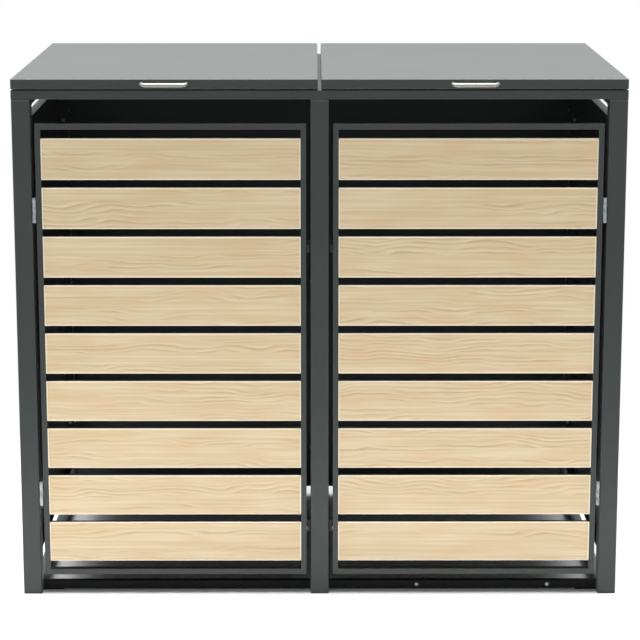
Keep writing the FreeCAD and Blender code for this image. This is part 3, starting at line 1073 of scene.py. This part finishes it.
@dataclass(frozen=True)
class LidHinge:
    """Hinge between the rear rail and a lid, with a cranked leaf under the lid's sheet."""

    place: float
    length: float = 60.0
    radius: float = 5.0
    axis_y: float = 410.8
    axis_z: float = 1127.0
    sheet: float = 2.0
    clear: float = 5.6             # from the axis to the leaves' near edges
    foot: float = 19.0             # from the axis to the rail leaf's lower edge
    foot_rivets: float = 12.5      # below the axis
    arm: float = 32.0              # how far the lid's leaf runs forwards under the sheet
    arm_rivets: float = 20.0       # from the leaf's rear face
    rivets_apart: float = 36.0
    tab: float = 6.0

    @property
    def barrel(self) -> Barrel:
        """Level barrel of the hinge."""
        base = (self.place, self.axis_y, self.axis_z)
        return Barrel(base, Axis.X, self.length, self.radius)

    def leaf(self, moving: bool) -> Surface:
        """One leaf with its knuckles and rivets: the lid's, or else the rail's.

        Args:
            moving: Whether it is the lid's.

        Returns:
            All of it as one.
        """
        front, rear = REAR, REAR + self.sheet
        x = about(self.place, self.length)
        roof, under = LID_TOP - LID_SHEET, LID_TOP - LID_SHEET - self.sheet
        if moving:
            low = self.axis_z + self.clear
            crank = [(front, under), (front, low), (rear, low), (rear, under)]
            bend = arc((rear - self.sheet, under), self.sheet, 0, 90, 6)
            arm = [(rear - self.arm, roof), (rear - self.arm, under)]
            section = np.vstack([crank, bend, arm])
            plate = capped(np.array([in_space(section, Axis.X, end) for end in x]))
            rivets, way, tab = (rear - self.arm_rivets, under), (0, 0, -1), self.tab
        else:
            z = (self.axis_z - self.foot, self.axis_z - self.clear)
            plate = slab(x, (front, rear), z, Axis.Y, corner=2.0, ease=0.2)
            rivets, way, tab = (rear, self.axis_z - self.foot_rivets), (0, 1, 0), -self.tab
        tab_z = ordered(self.axis_z, self.axis_z + tab)
        parts = [plate, *self.barrel.knuckles(moving, Axis.Y, (front, rear), tab_z)]
        for place in about(self.place, self.rivets_apart):
            parts.append(countersunk((place, *rivets), way))
        return Surface.joined(parts)


def lid_hinges(side: Side) -> list[LidHinge]:
    """The two hinges of a lid."""
    return [LidHinge(place) for place in about(side.value * LID_CENTRE, LID_HINGES_APART)]


def door_hinges(side: Side) -> list[DoorHinge]:
    """The two hinges of a door, the upper one first."""
    return [DoorHinge(side, height) for height in DOOR_HINGE_HEIGHTS]


@dataclass
class WeldedFrame:
    """Posts, rails, panels and thresholds, with their welds, screws, hinges and buffers."""

    body: str = "frame"
    tube_corner: float = 1.5       # outer corners of the small side tubes
    bead_radius: float = 1.2
    mitre_ends: Span = (2.2, 1.0)  # how far a mitre's seam stays inside its corners
    rail_inset: float = 2.0        # and that of the middle rail inside its edges
    sill_inset: float = 1.5        # and those at a threshold inside its edges
    sill_seam: Span = (3.2, 0.9)   # width and height
    sill_seam_sink: float = 0.2
    post_seam: Span = (3.4, 1.0)
    post_seam_length: float = 36.0
    post_seam_drop: float = 2.6
    post_seam_sink: float = 0.02
    panel_sheet: float = 1.2
    screw_line: float = 10.0       # of the panels' screws, from the edge of the post
    shank: float = 6.0
    sill_screws: Span = (217.0, 510.0)
    sill_screw_height: float = 12.5
    stop_heights: Span = (782.0, 151.0)
    stop_sheet: float = 2.0
    lid_buffers_apart: float = 536.0
    lid_buffer_row: float = 8.0    # behind the frame's front

    def build(self) -> None:
        """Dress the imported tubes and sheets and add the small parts."""
        columns = ("left", "middle", "right")
        posts = [f"{row}_{column}_post" for row in ("front", "rear") for column in columns]
        rails = [f"{place}_top_rail" for place in ("front", "rear", "left", "right", "middle")]
        others = [f"{side.word}_{part}" for side in Side for part in
                  ("upper_side_rail", "bottom_rail", "side_panel", "back_panel")]
        dress(Look.COAT, *posts, *rails, *others, "door_stops")
        dress(Look.BLACK, *(f"{side.word}_threshold" for side in Side))
        dress(Look.PLASTIC, "post_feet")
        self.make_welds()
        self.make_screws()
        self.make_buffers()
        self.make_hinges()

    def make_welds(self) -> None:
        """Beads round the small tubes, and ground seams in the top frame and at the thresholds."""
        parts = [part for side in Side for part in self.side_welds(side)]
        for y in (POSTS_BEHIND, POSTS_BEFORE):
            start, end = [(x, y, FRAME_TOP - SEAM_SINK)
                          for x in about(0.0, POST - 2 * self.rail_inset)]
            parts.append(seam(start, end, (0, 0, 1)))
        for middle in (BAY_INNER - OUTER, 0.0, OUTER - BAY_INNER):
            for y, way in ((FRONT, -1), (REAR, 1)):
                row, height = y - way * self.post_seam_sink, POST_TOP - self.post_seam_drop
                start, end = [(x, row, height)
                              for x in about(middle, self.post_seam_length)]
                parts.append(seam(start, end, (0, way, 0), *self.post_seam))
        make_piece("frame_welds", parts, (Look.COAT,), self.body)

    def side_welds(self, side: Side) -> list[Surface]:
        """Beads round a side's small tubes, seams over its mitres and beside its threshold.

        Args:
            side: Left or right.

        Returns:
            One surface for each weld.
        """
        parts = []
        x = ordered(side.value * BAY_OUTER, side.value * (BAY_OUTER + SIDE_TUBE))
        for z in (BOTTOM_TUBE, UPPER_TUBE):
            outline = rounded_rectangle(x, z, self.tube_corner)
            for y in (POSTS_BEHIND, POSTS_BEFORE):
                parts.append(bead(in_space(outline, Axis.Y, y), (0, 1, 0), self.bead_radius))
        near, far = self.mitre_ends
        for y, way in ((FRONT, 1), (REAR, -1)):
            outer = (side.value * (OUTER - near), y + way * near, FRAME_TOP - SEAM_SINK)
            inner = (side.value * (BAY_OUTER + far), y + way * (POST - far),
                     FRAME_TOP - SEAM_SINK)
            parts.append(seam(outer, inner, (0, 0, 1)))
        heights = (BOTTOM_TUBE[0] + self.sill_inset, THRESHOLD_TOP - self.sill_inset)
        for place in (BAY_INNER, BAY_OUTER):
            low, high = [(side.value * place, THRESHOLD_FACE + self.sill_seam_sink, z)
                         for z in heights]
            parts.append(seam(low, high, (0, -1, 0), *self.sill_seam))
        return parts

    def make_screws(self) -> None:
        """Pan-head screws of the panels, and the two on the right threshold."""
        seats: list[tuple[Point, Point]] = []
        sheet, line = self.panel_sheet, self.screw_line
        for side in Side:
            x, y = side.value * (BAY_OUTER + line), POSTS_BEFORE + line
            for z in np.linspace(*SIDE_SCREWS, 3):
                seats += [((x, POSTS_BEHIND + sheet, z), (0, 1, 0)),
                          ((x, POSTS_BEFORE - sheet, z), (0, -1, 0))]
            for z in np.linspace(*BACK_SCREWS, 3):
                seats += [((side.value * (BAY_OUTER - sheet), y, z), (-side.value, 0, 0)),
                          ((side.value * (BAY_INNER + sheet), y, z), (side.value, 0, 0))]
        seats += [((x, THRESHOLD_FACE, self.sill_screw_height), (0, -1, 0))
                  for x in self.sill_screws]
        parts = [pan_screw(seat, direction, self.shank) for seat, direction in seats]
        make_piece("panel_screws", parts, (Look.ZINC,), self.body, "frame_screws")

    def make_buffers(self) -> None:
        """Rubber discs on the door stops and on the front rail."""
        parts = []
        for side in Side:
            x = side.value * (DOOR_INNER + DOOR_BAR / 2)
            parts += [rubber_disc((x, DOOR_BACK + self.stop_sheet, z), (0, -1, 0))
                      for z in self.stop_heights]
            parts += [rubber_disc((x, FRONT + self.lid_buffer_row, FRAME_TOP), (0, 0, 1))
                      for x in about(side.value * LID_CENTRE, self.lid_buffers_apart)]
        make_piece("moulded_buffers", parts, (Look.RUBBER,), self.body, "rubber_buffers")

    def make_hinges(self) -> None:
        """Fixed leaves of the door and lid hinges, and all the pins."""
        for name, node, hinges in (("post_hinge_leaves", "door_hinge_post_leaves", door_hinges),
                                   ("rail_hinge_leaves", "lid_hinge_rail_leaves", lid_hinges)):
            leaves = [hinge.leaf(moving=False) for side in Side for hinge in hinges(side)]
            make_piece(name, leaves, (Look.ZINC,), self.body, node)
        pins = [hinge.barrel.pin() for side in Side
                for hinge in (*door_hinges(side), *lid_hinges(side))]
        make_piece("domed_hinge_pins", pins, (Look.ZINC,), self.body, "hinge_pins")


@dataclass
class SlattedDoor:
    """One door: its tube frame, nine printed boards, hinges, catches and welds."""

    side: Side
    board_count: int = 9
    board_pitch: float = 107.0
    top_board: float = 1022.0
    board_face: float = -393.0
    board_depth: float = 12.0
    board_sheet: float = 1.2
    board_bend: float = 2.0
    bend_steps: int = 6
    mitre_ends: Span = (1.4, 0.8)  # how far a mitre's seam stays inside its corners
    mitre_seam: Span = (1.4, 0.15)  # width and height
    tack: Span = (3.0, 1.3)
    tack_reach: Span = (-6.0, 0.4)  # along Y, from a board's rear edge
    housing: Point = (5.2, 12.0, 17.0)   # depth, width and height of the magnet's housing
    housing_height: float = 782.0
    pole: Point = (1.5, 7.0, 11.0)  # and of its pole plate
    pole_proud: float = 0.3
    button: Span = (4.5, 4.0)      # radius and rise
    button_height: float = 151.0

    @property
    def body(self) -> str:
        """Body of the door."""
        return self.side.word + "_door"

    @property
    def across(self) -> Span:
        """Lowest and highest X of the boards, between the door's upright bars."""
        return ordered(*(self.side.value * x for x in (DOOR_INNER + DOOR_BAR,
                                                       DOOR_OUTER - DOOR_BAR)))

    @property
    def board_back(self) -> float:
        """Y of the boards' rear edges."""
        return self.board_face + self.board_depth

    def build(self) -> None:
        """Dress the tube frame and make everything on it."""
        dress(Look.COAT, self.body + "_frame")
        for number in range(1, self.board_count + 1):
            self.make_board(number)
        self.make_welds()
        self.make_catches()
        leaves = [hinge.leaf(moving=True) for hinge in door_hinges(self.side)]
        make_piece(self.body + "_leaves", leaves, (Look.ZINC,), self.body,
                   self.body + "_hinge_leaves")

    def board_span(self, number: int) -> Span:
        """Lowest and highest Z of a board, counted from 1 at the top."""
        top = self.top_board - (number - 1) * self.board_pitch
        return (top - BOARD_HEIGHT, top)

    def board_section(self, low: float, top: float) -> np.ndarray:
        """Section of a board in Y and Z, as a closed outline.

        It runs over the upper return, a quarter circle, the face, a quarter circle and the lower
        return, and comes back one sheet thickness inside.

        Args:
            low: Lowest Z of the board.
            top: Highest Z of the board.

        Returns:
            Array of shape (n, 2).
        """
        bend, sheet, steps = self.board_bend, self.board_sheet, self.bend_steps
        back, small = self.board_back, bend - sheet
        upper, lower = [(self.board_face + bend, z) for z in (top - bend, low + bend)]
        return np.vstack([
            [(back, top)], arc(upper, bend, 90, 180, steps), arc(lower, bend, 180, 270, steps),
            [(back, low)],
            [(back, low + sheet)], arc(lower, small, 270, 180, steps),
            arc(upper, small, 180, 90, steps), [(back, top - sheet)]])

    def make_board(self, number: int) -> None:
        """Folded board with the print on its face and folds, and plain coat on its returns.

        Args:
            number: The board's place, from 1 at the top.
        """
        span = self.board_span(number)
        section = self.board_section(*span)
        left, right = self.across
        along = np.r_[left, np.linspace(left + 1, right - 1, 9), right]
        shell = capped(np.array([in_space(section, Axis.X, x) for x in along]))
        quads = shell.faces[0].reshape(len(along) - 1, len(section), 4)
        printed = np.zeros(len(section), bool)
        printed[1:2 * self.bend_steps + 2] = True
        blocks = [quads[:, chosen].reshape(-1, 4) for chosen in (printed, ~printed)]
        surface = Surface(shell.points, [*blocks, *shell.faces[1:]], [0, 1, 1, 1])
        piece = make_piece(f"{self.side.word}_board_{number}", [surface],
                           (Look.DECOR, Look.COAT), self.body,
                           f"{self.side.word}_slat_{number}")
        self.lay_print(piece, number, span)

    def lay_print(self, piece: bpy.types.Object, number: int, span: Span) -> None:
        """Give a board its own part of the print, and its place from the board's middle.

        Map "print" is (x, z) in metres, shifted by an amount drawn for the board. Map "middle" is
        (x, z) in metres, less the board's middle.

        Args:
            piece: The board.
            number: Its place, from 1 at the top.
            span: Its lowest and highest Z in millimetres.
        """
        mesh = piece.data
        corners = np.zeros(len(mesh.loops), np.int32)
        mesh.loops.foreach_get("vertex_index", corners)
        points = np.zeros(len(mesh.vertices) * 3)
        mesh.vertices.foreach_get("co", points)
        flat = points.reshape(-1, 3)[corners][:, ::2]
        draw = np.random.default_rng(40 + number + 20 * self.side.value)
        shift = draw.uniform(0, 40, 2)
        middle = np.array([sum(self.across), sum(span)]) / 2 * METRE
        for title, values in (("print", flat + shift), ("middle", flat - middle)):
            layer = mesh.uv_layers.new(name=title)
            layer.data.foreach_set("uv", values.astype(np.float32).ravel())

    def on_this_side(self, parts: list[Surface]) -> list[Surface]:
        """Parts that are placed as on the right door, on this door."""
        return [part.mirrored() for part in parts] if self.side is Side.LEFT else parts

    def make_welds(self) -> None:
        """Ground seams across the mitres, and tacks that hold the boards to the bars."""
        parts = []
        near, far = self.mitre_ends[0], DOOR_BAR - self.mitre_ends[1]
        for x, x_way in ((DOOR_INNER, 1), (DOOR_OUTER, -1)):
            for z, z_way in ((DOOR_BOTTOM, 1), (DOOR_TOP, -1)):
                for y, up in ((FRONT + SEAM_SINK, -1), (DOOR_BACK - SEAM_SINK, 1)):
                    start, end = [(x + x_way * inset, y, z + z_way * inset)
                                  for inset in (near, far)]
                    parts.append(seam(start, end, (0, up, 0), *self.mitre_seam))
        for number in range(1, self.board_count + 1):
            low, top = self.board_span(number)
            for z, up in ((top, 1), (low, -1)):
                for x in (DOOR_INNER + DOOR_BAR, DOOR_OUTER - DOOR_BAR):
                    start, end = [(x, self.board_back + y, z) for y in self.tack_reach]
                    parts.append(seam(start, end, (0, 0, up), *self.tack))
        make_piece(self.body + "_welds", self.on_this_side(parts), (Look.COAT,), self.body)

    def make_catches(self) -> None:
        """Moulded magnet housing with its pole plate, and a domed button, on the free edge."""
        deep, wide, tall = self.housing
        face, row = DOOR_INNER - deep, DOOR_BACK - wide / 2
        housing = slab((face, DOOR_INNER), about(row, wide), about(self.housing_height, tall),
                       Axis.X, corner=1.6, ease=0.7, finish=1)
        deep, wide, tall = self.pole
        face -= self.pole_proud
        pole = slab((face, face + deep), about(row, wide), about(self.housing_height, tall),
                    Axis.X, corner=0.6, ease=0.2)
        seat = (DOOR_INNER, FRONT + DOOR_DEPTH / 2, self.button_height)
        button = domed_button(seat, (-1, 0, 0), *self.button)
        make_piece(self.body + "_edge_catches", self.on_this_side([housing, pole, button]),
                   (Look.ZINC, Look.PLASTIC), self.body, self.body + "_catches")


@dataclass
class FlapLid:
    """One lid: its folded sheet, bow handle, handle screws and hinge leaves."""

    side: Side
    bend: float = 2.5
    hem: float = 18.0
    fold: float = 1.6
    back_fold: float = 0.6         # the back flange's share of that fold
    sharpest: float = 0.15         # least radius of the sheet's corners
    edge: float = 0.4              # ease of the flanges' inner edges
    insets: tuple[float, ...] = (8.0, 40.0, 120.0, 220.0, 300.0)   # rings across the top
    bar: float = 10.0
    handle_width: float = 96.0
    handle_reach: float = 25.0
    handle_bend: float = 12.0
    handle_height: float = 1139.0
    handle_shank: float = 14.0

    @property
    def body(self) -> str:
        """Body of the lid."""
        return self.side.word + "_lid"

    @property
    def centre(self) -> float:
        """Middle of the lid along X."""
        return self.side.value * LID_CENTRE

    def build(self) -> None:
        """Make the sheet, the handle and the small parts."""
        handle = self.side.word + "_handle"
        make_piece(self.body + "_sheet", [self.sheet()], (Look.COAT,), self.body, self.body)
        make_piece(handle + "_bar", [self.handle()], (Look.STEEL,), self.body, handle)
        screws = [pan_screw((x, LID_FRONT + LID_SHEET, self.handle_height), (0, 1, 0),
                            self.handle_shank) for x in about(self.centre, self.handle_width)]
        make_piece(handle + "_fixings", screws, (Look.ZINC,), self.body, handle + "_screws")
        leaves = [hinge.leaf(moving=True) for hinge in lid_hinges(self.side)]
        make_piece(self.body + "_leaves", leaves, (Look.ZINC,), self.body,
                   self.body + "_hinge_leaves")

    def sheet(self) -> Surface:
        """The lid's folded sheet, as rounded rectangles stacked into a closed skin.

        A ring is (inset at front and sides, inset at the back, height). The rings run from the
        hem's inner edge round its fold, up the flange, over the bend and across the top, and
        come back one sheet thickness inside. The back flange has no hem.

        Returns:
            A closed surface.
        """
        sheet, bend, fold, edge = LID_SHEET, self.bend, self.fold, self.edge
        low, top, small = LID_UNDERSIDE, LID_TOP, self.bend - LID_SHEET
        turn = np.radians(np.linspace(0, 90, 6))
        eases = list(zip(1 - np.cos(turn), 1 - np.sin(turn)))
        outer = [(self.hem, sheet, low + sheet), (self.hem, sheet, low)]
        outer += [(fold * b, fold * b * self.back_fold, low + fold * a) for a, b in eases]
        outer += [(bend * a, bend * a, top - bend * b) for a, b in eases]
        outer += [(inset, inset, top) for inset in self.insets]
        inner = [(inset, inset, top - sheet) for inset in self.insets[::-1]]
        inner += [(sheet + small * a, sheet + small * a, top - sheet - small * b)
                  for a, b in eases[::-1]]
        inner += [(sheet, sheet, low + sheet + edge), (sheet + edge, sheet, low + sheet)]
        points = []
        left, right = about(self.centre, LID_WIDTH)
        for near, far, height in outer + inner:
            outline = rounded_rectangle((left + near, right - near),
                                        (LID_FRONT + near, LID_REAR - far),
                                        max(bend - near, self.sharpest))
            points.append(in_space(outline, Axis.Z, height))
        skin = grid(np.array(points), wrap_rows=True, wrap_columns=True)
        return self.closed_middle(skin, len(outer), len(points[0]))

    def closed_middle(self, skin: Surface, turn_row: int, count: int) -> Surface:
        """Close the outer and inner skins in the middle instead of joining them there.

        Args:
            skin: Quads between all the rings.
            turn_row: Number of rings on the outer skin.
            count: Points in a ring.

        Returns:
            A closed surface.
        """
        quads = skin.faces[0].reshape(-1, count, 4)
        kept = np.delete(quads, turn_row - 1, axis=0).reshape(-1, 4)
        upper = (np.arange(count) + (turn_row - 1) * count)[None]
        lower = (np.arange(count) + turn_row * count)[None, ::-1]
        return Surface(skin.points, [kept, upper, lower], [0, 0, 0])

    def handle(self) -> Surface:
        """Round bar carried along a leg, a quarter circle, the grip and back to the lid.

        Returns:
            A closed surface.
        """
        bend, reach = self.handle_bend, LID_FRONT - self.handle_reach
        left, right = about(self.centre, self.handle_width)
        leg = np.linspace(LID_FRONT, reach + bend, 6)[:-1]
        grip = np.linspace(left + bend, right - bend, 26)[1:-1]
        path = np.vstack([
            np.stack([np.full_like(leg, left), leg], -1),
            arc((left + bend, reach + bend), bend, 180, 270, 16),
            np.stack([grip, np.full_like(grip, reach)], -1),
            arc((right - bend, reach + bend), bend, 270, 360, 16),
            np.stack([np.full_like(leg, right), leg[::-1]], -1)])
        section = arc((0, 0), self.bar / 2, 0, 360, 32)[:-1]
        return carried(section, in_space(path, Axis.Z, self.handle_height), (0, 0, 1))


# Studio


def onlookers(tree: Tree) -> tuple[Source, Source]:
    """1 for camera rays and 0 for others, and 1 for glossy and transmission rays.

    Args:
        tree: Node tree of a material or of the world.

    Returns:
        The camera's share and the reflections' share.
    """
    path = add(tree, "LightPath").outputs
    mirrored = add(tree, "Math", (path["Is Glossy Ray"], path["Is Transmission Ray"]),
                   operation="MAXIMUM")
    return path["Is Camera Ray"], mirrored


@dataclass(frozen=True)
class Softbox:
    """Soft area lamp: places and size in metres, power in watts, spread in degrees."""

    name: str
    place: Point
    aim: Point
    size: Span
    power: float
    spread: float = 180.0

    def hang(self) -> None:
        """Add the lamp to the scene, unseen by the camera."""
        data = bpy.data.lights.new(self.name, "AREA")
        data.shape = "RECTANGLE"
        data.size, data.size_y = self.size
        data.energy = self.power
        data.spread = math.radians(self.spread)
        lamp = bpy.data.objects.new(self.name, data)
        lamp.location = self.place
        lamp.visible_camera = False
        aimed = Vector(self.aim) - Vector(self.place)
        lamp.rotation_euler = aimed.to_track_quat("-Z", "Y").to_euler()
        bpy.context.scene.collection.objects.link(lamp)


@dataclass
class Studio:
    """Pale floor, white room, soft lamps and the camera, in metres and degrees."""

    floor_radii: tuple[float, ...] = (0.5, 1.0, 2.0, 4.0, 8.0, 16.0, 30.0)
    floor_drop: float = 0.0002     # keeps the floor clear of the feet's faces
    floor_paint: tuple[str, str] = ("#f0f0ef", "#f4f4f3")
    white_seen: Span = (0.72, 1.4)
    white_mirrored: Span = (1.5, 2.4)
    room_light: float = 0.42
    lamps: tuple[Softbox, ...] = (
        Softbox("overhead_softbox", place=(0.0, 0.0, 3.4), aim=(0.0, 0.0, 1.15),
                size=(3.2, 1.6), power=220.0),
        Softbox("gridded_floor_softbox", place=(0.0, -1.05, 2.4), aim=(0.0, -0.85, 0.0),
                size=(3.4, 0.5), power=3.6, spread=35.0),
        Softbox("gridded_left_softbox", place=(-1.9, 0.0, 1.7), aim=(-0.62, 0.0, 0.0),
                size=(2.0, 1.3), power=7.5, spread=60.0),
        Softbox("gridded_right_softbox", place=(1.9, 0.0, 1.7), aim=(0.62, 0.0, 0.0),
                size=(2.0, 1.3), power=4.0, spread=60.0))
    camera_place: Point = (-0.011, -5.3945, 1.689)
    camera_down: float = 12.02
    camera_turn: float = -0.135
    sensor: float = 36.0           # millimetres, as is the lens
    lens: float = 132.0

    def build(self) -> None:
        """Set the room up."""
        self.make_floor()
        self.make_world()
        for lamp in self.lamps:
            lamp.hang()
        self.make_camera()
        bpy.context.scene.view_settings.view_transform = "Standard"

    def make_floor(self) -> None:
        """Round white floor that keeps the store's shadow and fades into the white room."""
        angle = np.linspace(0, 2 * np.pi, 96, endpoint=False)
        ring = np.stack([np.cos(angle), np.sin(angle), np.zeros_like(angle)], -1)
        points = np.array(self.floor_radii)[:, None, None] * ring
        points[..., 2] = -self.floor_drop
        disc = capped(points)
        rings, middle, _ = disc.faces
        mesh = bpy.data.meshes.new("studio_floor")
        mesh.from_pydata(disc.points.tolist(), [], rings.tolist() + middle.tolist())
        mesh.materials.append(self.floor_material())
        floor = bpy.data.objects.new("studio_floor", mesh)
        bpy.context.scene.collection.objects.link(floor)

    def floor_material(self) -> bpy.types.Material:
        """Matt white paint near the store, and plain white for what sees it farther out.

        Returns:
            A new material.
        """
        made = bpy.data.materials.new("painted_studio_floor")
        tree = emptied(made)
        place = add(tree, "TexCoord").outputs["Object"]
        mottle = add(tree, "TexNoise", {"Vector": place, "Scale": 3.0, "Detail": 2.0})
        first, second = [linear(tone) for tone in self.floor_paint]
        shade = add(tree, "Mix", {0: mottle, UNDER: first, OVER: second}, data_type="RGBA")
        distance = add(tree, "VectorMath", (place,), operation="LENGTH")
        shares = []
        for (near, far), seen in zip((self.white_seen, self.white_mirrored), onlookers(tree)):
            fade = add(tree, "MapRange", (distance, near, far), interpolation_type="SMOOTHSTEP")
            shares.append(add(tree, "Math", (fade, seen), operation="MULTIPLY"))
        share = add(tree, "Math", tuple(shares), operation="ADD")
        paint = add(tree, "BsdfDiffuse", {"Color": shade})
        glow = add(tree, "Emission", {"Color": WHITE, "Strength": 1.0})
        add(tree, "OutputMaterial", (add(tree, "MixShader", (share, paint, glow)),))
        return made

    def make_world(self) -> None:
        """White for what sees the room, and a plain soft grey as light."""
        world = bpy.data.worlds.new("white_room")
        bpy.context.scene.world = world
        tree = emptied(world)
        light = add(tree, "Background", {"Color": WHITE, "Strength": self.room_light})
        white = add(tree, "Background", {"Color": WHITE, "Strength": 1.0})
        seen = add(tree, "Math", onlookers(tree), operation="MAXIMUM")
        add(tree, "OutputWorld", (add(tree, "MixShader", (seen, light, white)),))

    def make_camera(self) -> None:
        """Camera at the photograph's viewing angle, fitted to the store's measured corners."""
        data = bpy.data.cameras.new("camera")
        data.sensor_width = self.sensor
        data.lens = self.lens
        camera = bpy.data.objects.new("camera", data)
        camera.location = self.camera_place
        camera.rotation_euler = Euler((math.radians(90 - self.camera_down), 0.0,
                                       math.radians(self.camera_turn)))
        bpy.context.scene.collection.objects.link(camera)
        bpy.context.scene.camera = camera


def main() -> None:
    """Build the sub-assemblies in order, then the studio round them."""
    logging.basicConfig(level=logging.INFO, format="%(name)s %(message)s")
    WeldedFrame().build()
    for side in Side:
        SlattedDoor(side).build()
        FlapLid(side).build()
    Studio().build()


if __name__ == "__main__":
    main()
